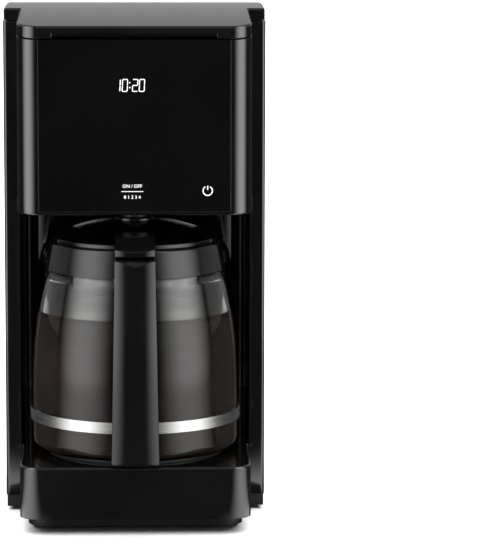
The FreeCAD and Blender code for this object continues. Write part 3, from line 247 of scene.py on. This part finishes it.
node_surfaces = {
    "bay_wall": moulded("bay_gloss", 0.0028, 0.0045, rough=(0.02, 0.05), grain=700, height=0.000004,
                        Coat_Weight=1.0, Coat_Roughness=0.02),
}
for entry in frame["record"]["subparts"]:
    item = nodes[entry["node"]]
    surface = node_surfaces.get(entry["node"], slot_surfaces[entry["material_slot"]])
    if not item.material_slots:
        item.data.materials.append(None)
    for place in item.material_slots:
        place.link = "OBJECT"
        place.material = surface.material


# Mesh pieces.

def piece(name, points, faces, surface, body, slot, smooth=False):
    mesh = bpy.data.meshes.new(name)
    mesh.from_pydata(points, [], faces)
    mesh.validate()
    mesh.update()
    shape = bmesh.new()
    shape.from_mesh(mesh)
    bmesh.ops.recalc_face_normals(shape, faces=shape.faces)
    shape.to_mesh(mesh)
    shape.free()
    for face in mesh.polygons:
        face.use_smooth = smooth
    item = bpy.data.objects.new(name, mesh)
    scene.collection.objects.link(item)
    dress(item, surface)
    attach(item, body)
    return item


def turned(profile, centre, steps=96):
    """Points and faces of a solid turned about a vertical axis; the profile runs from axis to axis."""
    points = []
    faces = []
    inner = profile[1:-1]
    for step in range(steps):
        turn = 2 * math.pi * step / steps
        for radius, height in inner:
            points.append((centre[0] + radius * math.cos(turn), centre[1] + radius * math.sin(turn), height))
    low = len(points)
    points.append((centre[0], centre[1], profile[0][1]))
    points.append((centre[0], centre[1], profile[-1][1]))
    count = len(inner)
    for step in range(steps):
        here = step * count
        there = (step + 1) % steps * count
        for row in range(count - 1):
            faces.append((here + row, there + row, there + row + 1, here + row + 1))
        faces.append((low, there, here))
        faces.append((low + 1, here + count - 1, there + count - 1))
    return points, faces


# Coffee in the carafe. Radii are from the carafe's axis, heights from the table.

CARAFE_AXIS = (0.0, -0.0195)
INSIDE_FLOOR = 0.0566
INSIDE_RADIUS = 0.0752
FOOT_ROUND = 0.0054
BELLY_TOP = 0.104
SHOULDER_RADIUS = 0.0664
SHOULDER_TOP = 0.183
FILL_LEVEL = 0.1585
WETTING = 0.0003
RIM_STEPS = ((0.0006, 0.0006), (0.0025, 0.0010))


def fill_profile():
    """The inside of the glass up to the coffee's level, sunk a little into the wall, with a clinging rim."""
    foot_radius = INSIDE_RADIUS - FOOT_ROUND
    foot_height = INSIDE_FLOOR + FOOT_ROUND
    foot_bend = FOOT_ROUND + WETTING
    foot_steps = 8
    profile = [(0.0, INSIDE_FLOOR - WETTING), (foot_radius, INSIDE_FLOOR - WETTING)]
    for step in range(1, foot_steps + 1):
        turn = math.pi / 2 * step / foot_steps
        profile.append((foot_radius + foot_bend * math.sin(turn), foot_height - foot_bend * math.cos(turn)))
    rise = SHOULDER_TOP - BELLY_TOP
    drop = INSIDE_RADIUS - SHOULDER_RADIUS
    bend = (rise * rise + drop * drop) / (2 * drop)
    wall_steps = 12
    for step in range(wall_steps + 1):
        up = (FILL_LEVEL - BELLY_TOP) * step / wall_steps
        radius = INSIDE_RADIUS - bend + math.sqrt(bend * bend - up * up)
        profile.append((radius + WETTING, BELLY_TOP + up))
    edge = profile[-1][0]
    profile += [(edge - inward, FILL_LEVEL - down) for inward, down in RIM_STEPS]
    profile.append((0.0, profile[-1][1]))
    return profile


piece("coffee_fill", *turned(fill_profile(), CARAFE_AXIS), brewed(), "carafe", "clear_glass", smooth=True)


# Screws with cross recesses stand for the plain ones.

HEAD_RADIUS = 0.003
HEAD_HEIGHT = 0.0016
HEAD_ROUND = 0.0003
SHANK_RADIUS = 0.0015
SCREW_LENGTH = 0.012
RECESS_ARM = 0.0018
RECESS_HALF = 0.00045
RECESS_DEPTH = 0.0009


def screw_mesh(head, outward, points, faces):
    """One screw whose head's middle is at head; its shank runs away from outward."""
    axis = Vector(outward)
    side = axis.orthogonal().normalized()
    over = axis.cross(side)
    crown = HEAD_RADIUS - HEAD_ROUND
    recess = ((RECESS_ARM, RECESS_HALF), (RECESS_HALF, RECESS_HALF), (RECESS_HALF, RECESS_ARM))
    steps = 10

    def at(x, y, depth):
        points.append(tuple(Vector(head) + side * x + over * y - axis * depth))
        return len(points) - 1

    tilt = math.atan2(RECESS_HALF, HEAD_RADIUS)
    rim = []
    cross_top = []
    for quarter in range(4):
        turn = quarter * math.pi / 2
        cos = round(math.cos(turn))
        sin = round(math.sin(turn))
        arc = []
        for step in range(steps + 1):
            a = turn + tilt + (math.pi / 2 - 2 * tilt) * step / steps
            arc.append(at(crown * math.cos(a), crown * math.sin(a), 0.0))
        corners = [at(x * cos - y * sin, x * sin + y * cos, 0.0) for x, y in recess]
        faces.append((*arc, *reversed(corners)))
        rim.append(arc)
        cross_top.append(corners)
    for quarter in range(4):
        after = (quarter + 1) % 4
        faces.append((rim[quarter][-1], rim[after][0], cross_top[after][0], cross_top[quarter][-1]))
    cross = [corner for corners in cross_top for corner in corners]
    floor = []
    for corner in cross:
        points.append(tuple(Vector(points[corner]) - axis * RECESS_DEPTH))
        floor.append(len(points) - 1)
    for here in range(len(cross)):
        after = (here + 1) % len(cross)
        faces.append((cross[here], cross[after], floor[after], floor[here]))
    faces.append(tuple(floor))
    ring = [point for arc in rim for point in arc]
    for wide, depth in ((HEAD_RADIUS, HEAD_ROUND), (HEAD_RADIUS, HEAD_HEIGHT),
                        (SHANK_RADIUS, HEAD_HEIGHT), (SHANK_RADIUS, SCREW_LENGTH)):
        below = []
        for point in ring:
            flat = Vector(points[point]) - Vector(head)
            flat -= axis * flat.dot(axis)
            flat *= wide / flat.length
            points.append(tuple(Vector(head) + flat - axis * depth))
            below.append(len(points) - 1)
        for here in range(len(ring)):
            after = (here + 1) % len(ring)
            faces.append((ring[here], ring[after], below[after], below[here]))
        ring = below
    faces.append(tuple(ring))


def screws(name, node, body, outward, heads):
    points = []
    faces = []
    for head in heads:
        screw_mesh(head, outward, points, faces)
    item = piece(name, points, faces, slot_surfaces["steel"], body, "steel")
    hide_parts(node)


BACK_FACE = 0.1325
BACK_SCREW_X = 0.086
BACK_SCREW_HEIGHTS = (0.034, 0.181997, 0.329995)
UNDERSIDE = 0.003
BOTTOM_SCREWS = ((0.074, -0.0665), (0.062, 0.0305))
HANDLE_SCREW = (0.0, -0.1135, 0.059)

screws("rear_screw_set", "rear_screws", "machine", (0, 1, 0),
       [(BACK_SCREW_X * side, BACK_FACE, z) for z in BACK_SCREW_HEIGHTS for side in (-1, 1)])
screws("bottom_screw_set", "bottom_screws", "machine", (0, 0, -1),
       [(x * side, y, UNDERSIDE) for x, y in BOTTOM_SCREWS for side in (-1, 1)])
screws("handle_screw_set", "handle_screw", "carafe", (0, 0, -1), [HANDLE_SCREW])


# The drip stop's return spring shortens against the basket as the plunger rises; here it is one fixed coil
# from its box's floor to its top.

SPRING_WIRE = 0.0006
SPRING_TURNS = 5


def coil_mesh(low, high):
    """Points and faces of a round wire coiled about the middle of a box, from its floor to its top."""
    middle = [(a + b) / 2 for a, b in zip(low, high)]
    radius = (high[0] - low[0]) / 2 - SPRING_WIRE
    rise = high[2] - low[2] - 2 * SPRING_WIRE
    around = 10
    steps = 32 * SPRING_TURNS
    points = []
    faces = []
    for step in range(steps + 1):
        turn = 2 * math.pi * SPRING_TURNS * step / steps
        height = low[2] + SPRING_WIRE + rise * step / steps
        for corner in range(around):
            tilt = 2 * math.pi * corner / around
            out = radius + SPRING_WIRE * math.cos(tilt)
            points.append((middle[0] + out * math.cos(turn), middle[1] + out * math.sin(turn),
                           height + SPRING_WIRE * math.sin(tilt)))
    for here in range(0, steps * around, around):
        for corner in range(around):
            after = (corner + 1) % around
            faces.append((here + corner, here + after, here + around + after, here + around + corner))
    faces.append(tuple(range(around)))
    faces.append(tuple(range(steps * around, (steps + 1) * around)))
    return points, faces


spring_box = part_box("drip_stop_spring")
spring = piece("return_spring", *coil_mesh(*spring_box), slot_surfaces["steel"], "machine", "steel",
               smooth=True)
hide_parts("drip_stop_spring")
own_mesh(spring)


# Console graphics: thin raised prints on the touch panel's front face.

PANEL_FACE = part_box("touch_panel")[0][1]
PRINT = 0.00006


def printed(name, outlines, surface):
    """Each outline is a list of (x, z) corners; all become one raised print on the panel."""
    points = []
    faces = []
    for outline in outlines:
        first = len(points)
        count = len(outline)
        points += [(x, PANEL_FACE - PRINT, z) for x, z in outline]
        points += [(x, PANEL_FACE, z) for x, z in outline]
        faces.append(tuple(range(first, first + count)))
        faces.append(tuple(range(first + 2 * count - 1, first + count - 1, -1)))
        for corner in range(count):
            after = (corner + 1) % count
            faces.append((first + corner, first + after, first + count + after, first + count + corner))
    piece(name, points, faces, surface, "machine", "panel_gloss")


# The clock's time, each digit with its left edge and the segments that are lit.

CLOCK = ((-0.0146, "bc"), (-0.0093, "abcdef"), (-0.0019, "abged"), (0.0030, "abcdef"))
CLOCK_LOW = 0.3281
DIGIT_WIDTH = 0.0042
DIGIT_HEIGHT = 0.0092
DIGIT_BAR = 0.00056
DIGIT_SLANT = 0.05
BAR_GAP = 0.18 * DIGIT_BAR
COLON_LEFT = -0.0039
COLON_DOT = 0.0008
COLON_RISES = (0.0026, 0.0062)


def digit_outlines(segments, left):
    """Seven-segment bars with mitred ends, lettered clockwise from the top, g in the middle."""
    bar = DIGIT_BAR
    width = DIGIT_WIDTH
    low = bar / 2
    middle = DIGIT_HEIGHT / 2
    high = DIGIT_HEIGHT - bar / 2

    def level(z):
        a = BAR_GAP + bar / 2
        return [(a, z), (a + bar / 2, z + bar / 2), (width - a - bar / 2, z + bar / 2),
                (width - a, z), (width - a - bar / 2, z - bar / 2), (a + bar / 2, z - bar / 2)]

    def upright(x, start, end):
        a = start + BAR_GAP
        b = end - BAR_GAP
        return [(x, a), (x + bar / 2, a + bar / 2), (x + bar / 2, b - bar / 2),
                (x, b), (x - bar / 2, b - bar / 2), (x - bar / 2, a + bar / 2)]

    bars = {
        "a": level(high),
        "b": upright(width - bar / 2, middle, high),
        "c": upright(width - bar / 2, low, middle),
        "d": level(low),
        "e": upright(bar / 2, low, middle),
        "f": upright(bar / 2, middle, high),
        "g": level(middle),
    }
    return [[(left + x + DIGIT_SLANT * z, CLOCK_LOW + z) for x, z in bars[key]] for key in segments]


def clock_outlines():
    outlines = []
    for left, segments in CLOCK:
        outlines += digit_outlines(segments, left)
    for rise in COLON_RISES:
        low = CLOCK_LOW + rise
        outlines.append(bar_outline(COLON_LEFT, COLON_LEFT + COLON_DOT, low, low + COLON_DOT))
    return outlines


def ring_outlines(centre, radius, stroke, start, end, steps):
    outlines = []
    for step in range(steps):
        a = math.radians(start + (end - start) * step / steps)
        b = math.radians(start + (end - start) * (step + 1) / steps)
        corners = []
        for turn, r in ((a, radius - stroke / 2), (a, radius + stroke / 2),
                        (b, radius + stroke / 2), (b, radius - stroke / 2)):
            corners.append((centre[0] + r * math.cos(turn), centre[1] + r * math.sin(turn)))
        outlines.append(corners)
    return outlines


def bar_outline(left, right, low, high):
    return [(left, low), (right, low), (right, high), (left, high)]


SWITCH_MIDDLE = -0.0018
SWITCH_HALF = 0.0080
SWITCH_LOW = 0.2552
SWITCH_HIGH = 0.2556
POWER = (0.0530, 0.2559)
POWER_RADIUS = 0.0034
POWER_STROKE = 0.0007
POWER_BAR_TOP = 0.0037

clock_light = lit_print("clock_light", level=0.55)
mark_white = lit_print("mark_white", level=0.22)
printed("clock_digits", clock_outlines(), clock_light)
printed("switch_line", [
    bar_outline(SWITCH_MIDDLE - SWITCH_HALF, SWITCH_MIDDLE + SWITCH_HALF, SWITCH_LOW, SWITCH_HIGH),
], mark_white)
printed("power_mark", [
    *ring_outlines(POWER, POWER_RADIUS, POWER_STROKE, start=121, end=419, steps=48),
    bar_outline(POWER[0] - POWER_STROKE / 2, POWER[0] + POWER_STROKE / 2,
                POWER[1] + POWER_STROKE, POWER[1] + POWER_BAR_TOP),
], mark_white)


LETTER_SIZE = 0.0034
SWITCH_WORD_LOW = 0.2582
HOURS_WORD_LOW = 0.2502


def word(name, text, low):
    """Plain characters from Blender's own font, centred over the line as a raised print on the panel."""
    curve = bpy.data.curves.new(name, "FONT")
    curve.body = text
    curve.size = LETTER_SIZE
    curve.align_x = "CENTER"
    curve.extrude = PRINT / 2
    curve.resolution_u = 3
    holder = bpy.data.objects.new(name, curve)
    scene.collection.objects.link(holder)
    bpy.context.view_layer.update()
    mesh = bpy.data.meshes.new_from_object(holder.evaluated_get(bpy.context.evaluated_depsgraph_get()))
    bpy.data.objects.remove(holder)
    for point in mesh.vertices:
        x, up, out = point.co
        point.co = (SWITCH_MIDDLE + x, PANEL_FACE - PRINT / 2 - out, low + up)
    mesh.name = name
    item = bpy.data.objects.new(name, mesh)
    scene.collection.objects.link(item)
    dress(item, mark_white)
    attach(item, "machine")


word("switch_word", "ON / OFF", SWITCH_WORD_LOW)
word("hours_word", "0 1 2 3 4", HOURS_WORD_LOW)


# Stage: pale floor, two soft boxes, top light, even sky, and a dark card that only reflections show.

STAGE_REACH = 12.0
CARD_HOLE = 0.02
CARD_LIFT = 0.001
SKY_LEVEL = 0.33
SOFT_BOX_LEVEL = 3.4
SOFT_BOX_BEARING = 58
SOFT_BOX_NEAR = 0.12
SOFT_BOX_REACH = 0.62
SOFT_BOX_SPREAD = 0.70
SOFT_BOX_HEIGHT = 1.1
CLOTH_LIFT = 0.002
SIDE_FADE_FROM = 0.05 * SOFT_BOX_SPREAD
TOP_FADE_FROM = 0.8 * SOFT_BOX_HEIGHT
FLOOR_FADE_FROM = 0.06
FLOOR_GLOW = 0.6


def stage_mesh(name, points, faces, surface):
    mesh = bpy.data.meshes.new(name)
    mesh.from_pydata(points, [], faces)
    mesh.update()
    item = bpy.data.objects.new(name, mesh)
    scene.collection.objects.link(item)
    dress(item, surface)
    return item


def stage_ring(name, inner, level, surface):
    """Flat ring on the floor, out to the stage's edge."""
    points = []
    faces = []
    steps = 180
    for step in range(steps):
        turn = 2 * math.pi * step / steps
        for radius in (inner, STAGE_REACH):
            points.append((radius * math.sin(turn), -radius * math.cos(turn), level))
    for step in range(steps):
        a = 2 * step
        b = 2 * ((step + 1) % steps)
        faces.append((a, a + 1, b + 1, b))
    return stage_mesh(name, points, faces, surface)


def unseen(item, *kinds):
    for kind in kinds:
        setattr(item, "visible_" + kind, False)


pale = Surface("pale_floor", Roughness=0.6)
pale.colour(pale.noise(scale=3, detail=3), grey(0.88), grey(0.90))
stage_ring("floor", inner=0.0, level=0.0, surface=pale)
dark = Surface("dark_card", Roughness=0.9)
dark.colour(dark.noise(scale=5, detail=2), grey(0.004), grey(0.006))
card = stage_ring("dark_card", inner=CARD_HOLE, level=CARD_LIFT, surface=dark)
unseen(card, "camera", "diffuse", "shadow", "transmission")

world = bpy.data.worlds.new("sky")
scene.world = world
world.use_nodes = True
sky = world.node_tree.nodes["Background"]
sky.inputs["Color"].default_value = (1.0, 1.0, 1.0, 1.0)
sky.inputs["Strength"].default_value = SKY_LEVEL


def faded_light(name):
    """Glowing cloth that fades away from its middle bearing, towards its top and along the floor."""
    surface = Surface(name, Roughness=1.0)
    surface.shader.inputs["Base Color"].default_value = (0.0, 0.0, 0.0, 1.0)
    split = surface.add("ShaderNodeSeparateXYZ")
    surface.link(surface.place, split.inputs["Vector"])
    side = surface.add("ShaderNodeMath", operation="DIVIDE")
    surface.link(split.outputs["X"], side.inputs[0])
    surface.link(split.outputs["Y"], side.inputs[1])
    size = surface.add("ShaderNodeMath", operation="ABSOLUTE")
    surface.link(side.outputs[0], size.inputs[0])
    height = split.outputs["Z"]
    fades = []
    for source, start, end, full, least in (
            (size.outputs[0], SIDE_FADE_FROM, SOFT_BOX_SPREAD, SOFT_BOX_LEVEL, 0.0),
            (height, TOP_FADE_FROM, SOFT_BOX_HEIGHT, 1.0, 0.0),
            (height, FLOOR_FADE_FROM, 0.0, 1.0, FLOOR_GLOW)):
        fade = surface.add("ShaderNodeMapRange", interpolation_type="SMOOTHSTEP")
        fade.inputs["From Min"].default_value = start
        fade.inputs["From Max"].default_value = end
        fade.inputs["To Min"].default_value = full
        fade.inputs["To Max"].default_value = least
        surface.link(source, fade.inputs["Value"])
        fades.append(fade.outputs["Result"])
    total = fades[0]
    for fade in fades[1:]:
        both = surface.add("ShaderNodeMath", operation="MULTIPLY")
        surface.link(total, both.inputs[0])
        surface.link(fade, both.inputs[1])
        total = both.outputs[0]
    surface.shader.inputs["Emission Color"].default_value = (1.0, 1.0, 1.0, 1.0)
    surface.link(total, surface.shader.inputs["Emission Strength"])
    return surface


def soft_box(name, bearing):
    """Glowing cloth at a bearing from straight ahead, up a stand and along the floor towards the carafe."""
    points = []
    for away, up in ((SOFT_BOX_NEAR, CLOTH_LIFT), (SOFT_BOX_REACH, CLOTH_LIFT),
                     (SOFT_BOX_REACH, SOFT_BOX_HEIGHT)):
        half = SOFT_BOX_SPREAD * away
        points += [(-half, away, up), (half, away, up)]
    item = stage_mesh(name, points, [(0, 1, 3, 2), (2, 3, 5, 4)], faded_light(name))
    item.location = (*CARAFE_AXIS, 0.0)
    item.rotation_euler = (0.0, 0.0, math.pi + math.radians(bearing))
    unseen(item, "camera", "shadow", "diffuse")


soft_box("soft_box_left", -SOFT_BOX_BEARING)
soft_box("soft_box_right", SOFT_BOX_BEARING)

top_light = bpy.data.lights.new("top_light", "AREA")
top_light.size = 14.0
top_light.energy = 2200
top = bpy.data.objects.new("top_light", top_light)
scene.collection.objects.link(top)
top.location = (0.0, 0.5, 5.0)
unseen(top, "camera", "glossy", "transmission")


# Camera as fitted to the photograph. Focal length, height and places across are in its pixels.

FOCAL_PIXELS = 3183.45
PHOTO_HEIGHT = 539
PHOTO_MIDDLE = 244.5
MACHINE_MIDDLE = 135.0
LOOK_DOWN = 8.04
ROLL = -0.14

camera_data = bpy.data.cameras.new("camera")
camera_data.sensor_width = 36.0
camera_data.lens = FOCAL_PIXELS / PHOTO_HEIGHT * camera_data.sensor_width
camera = bpy.data.objects.new("camera", camera_data)
scene.collection.objects.link(camera)
camera.location = (0.0, -2.3965, 0.5231)
yaw = math.atan((PHOTO_MIDDLE - MACHINE_MIDDLE) / FOCAL_PIXELS)
camera.rotation_euler = (math.radians(90 - LOOK_DOWN), math.radians(ROLL), -yaw)
scene.camera = camera
